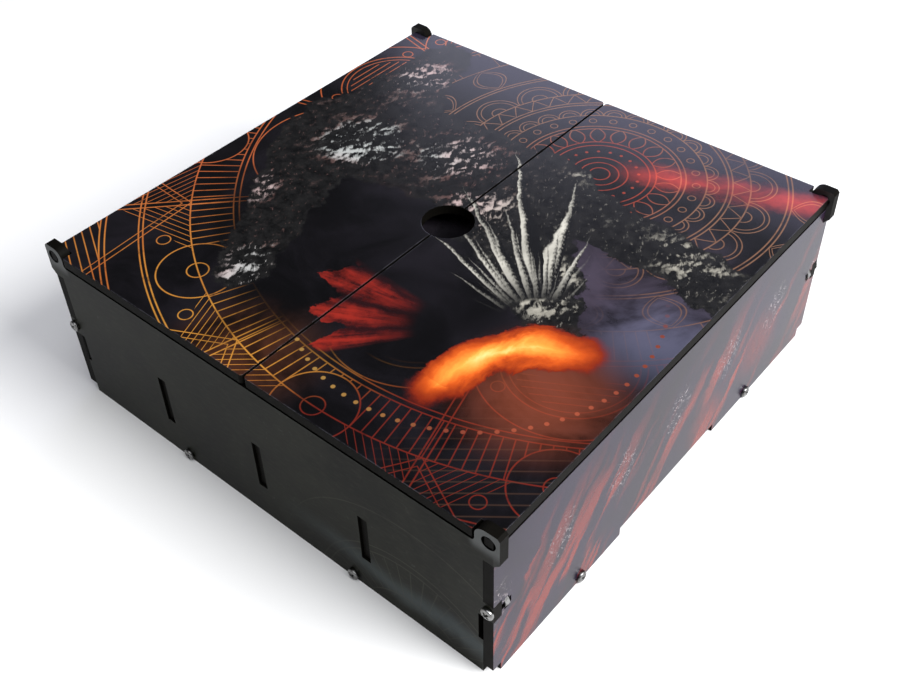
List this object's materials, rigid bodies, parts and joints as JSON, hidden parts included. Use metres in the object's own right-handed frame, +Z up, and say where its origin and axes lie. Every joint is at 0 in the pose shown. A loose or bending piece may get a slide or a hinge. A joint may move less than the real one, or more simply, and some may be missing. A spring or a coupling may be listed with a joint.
{
  "type": "dice tower box",
  "caption": "Flat square box of printed board whose two-leaf folding lid opens it into a dice rolling tray with dice pockets and a stored baffle tower.",
  "frame": {"origin": "bottom centre of the box, on the surface it rests on", "axes": "+Z up; the front wall with the three tenon slots faces -Y; the leaves hinge at the left (-X) and right (+X) walls"},
  "size_m": [0.2122, 0.2112, 0.074],
  "materials": {
    "printed_lid": "dark full-colour print under a satin coat, ornament in gold, red and orange",
    "printed_wall": "dark print under a satin coat",
    "tower_print": "dark print under a satin coat",
    "black_board": "black board, matte faces and dark laser-cut edges",
    "zinc": "bright zinc plating"
  },
  "bodies": {
    "box": {"floor_panel": "black_board", "front_wall": "printed_wall", "back_wall": "printed_wall", "left_wall": "printed_wall", "right_wall": "printed_wall", "left_divider": "black_board", "middle_divider": "black_board", "right_divider": "black_board", "pocket_wall": "black_board", "corner_screws": "zinc", "corner_nuts": "zinc", "floor_screws": "zinc", "floor_nuts": "zinc"},
    "left_leaf": {"left_lid": "printed_lid"},
    "right_leaf": {"right_lid": "printed_lid"},
    "tower": {"tower_back": "black_board", "tower_front": "tower_print", "tower_left_side": "black_board", "tower_right_side": "black_board", "upper_baffle": "black_board", "middle_baffle": "black_board", "lower_baffle": "black_board", "exit_ramp": "black_board"}
  },
  "joints": [
    {"name": "left_leaf_hinge", "type": "hinge", "parent": "box", "child": "left_leaf", "pos_m": [-0.102, 0, 0.0694], "axis": [0, -1, 0], "range_deg": [0, 200]},
    {"name": "right_leaf_hinge", "type": "hinge", "parent": "box", "child": "right_leaf", "pos_m": [0.102, 0, 0.0694], "axis": [0, 1, 0], "range_deg": [0, 200]},
    {"name": "tower_lift", "type": "slide", "parent": "box", "child": "tower", "axis": [0, 0, 1], "range_m": [0, 0.006]}
  ]
}
